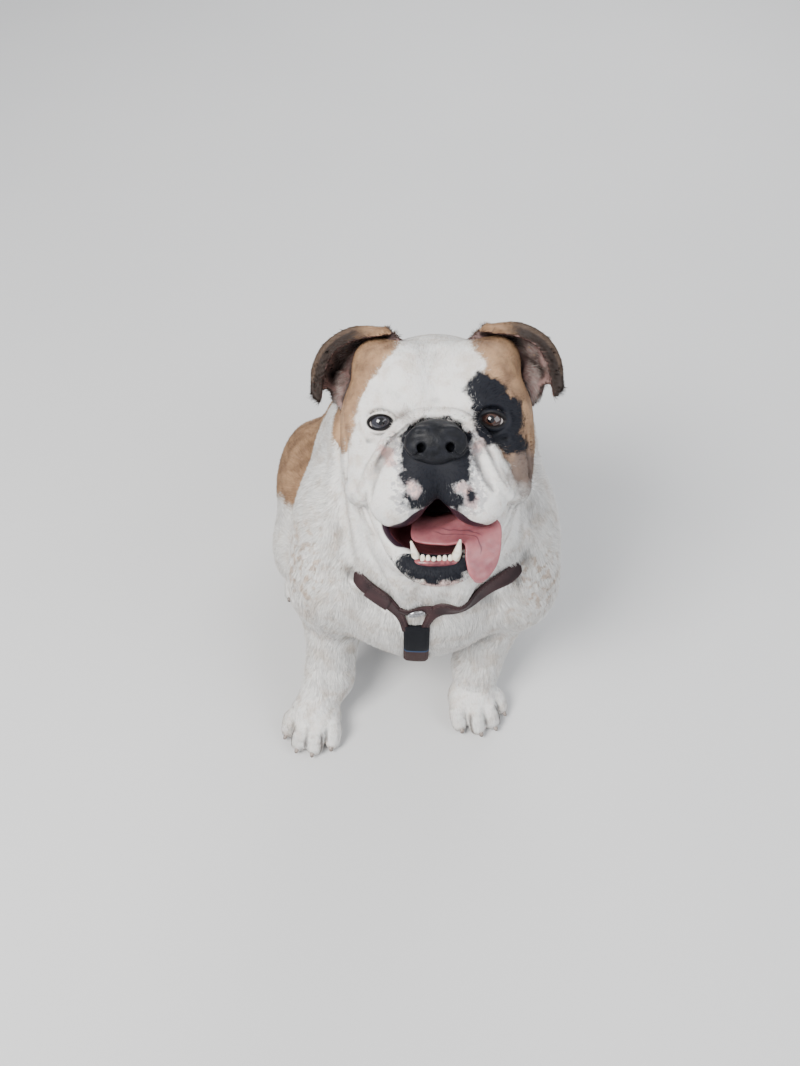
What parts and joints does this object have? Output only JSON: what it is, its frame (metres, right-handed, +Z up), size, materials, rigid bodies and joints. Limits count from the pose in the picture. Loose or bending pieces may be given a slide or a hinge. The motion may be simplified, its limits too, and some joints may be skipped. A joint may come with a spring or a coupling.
{
  "type": "english bulldog",
  "caption": "Sitting English bulldog, life size, mouth open with the tongue over its left lip, in a plain leather harness; a still model for display.",
  "frame": {"origin": "on the floor under the middle of the model's box", "axes": "+Z up; -Y is the way the dog faces; +X is the dog's left side"},
  "size_m": [0.358, 0.5954, 0.5184],
  "materials": {
    "coat": "short smooth fur, white with tan and black patches",
    "ear": "thin ear leather with short brown fur",
    "nose": "moist pebbled nose leather",
    "tongue": "moist skin with fine papillae",
    "eye": "wet polished eyeball",
    "mouth": "moist gum and inner cheek",
    "tooth": "smooth enamel, faintly stained",
    "claw": "worn horn",
    "strap": "oiled brown leather, stitched edges",
    "dark_strap": "black leather with a bound edge",
    "ring": "polished metal wire"
  },
  "bodies": {
    "root": {"head": "coat", "lower_jaw": "coat", "neck": "coat", "trunk": "coat", "tail": "coat", "foreleg_left": "coat", "foreleg_right": "coat", "forepaw_left": "coat", "forepaw_right": "coat", "thigh_left": "coat", "thigh_right": "coat", "hind_foot_left": "coat", "hind_foot_right": "coat", "ear_left": "ear", "ear_right": "ear", "nose": "nose", "tongue": "tongue", "eye_left": "eye", "eye_right": "eye", "neck_strap": "strap", "girth_strap": "strap", "back_strap": "strap", "breast_strap": "dark_strap", "chest_ring": "ring", "back_ring": "ring"}
  },
  "joints": []
}
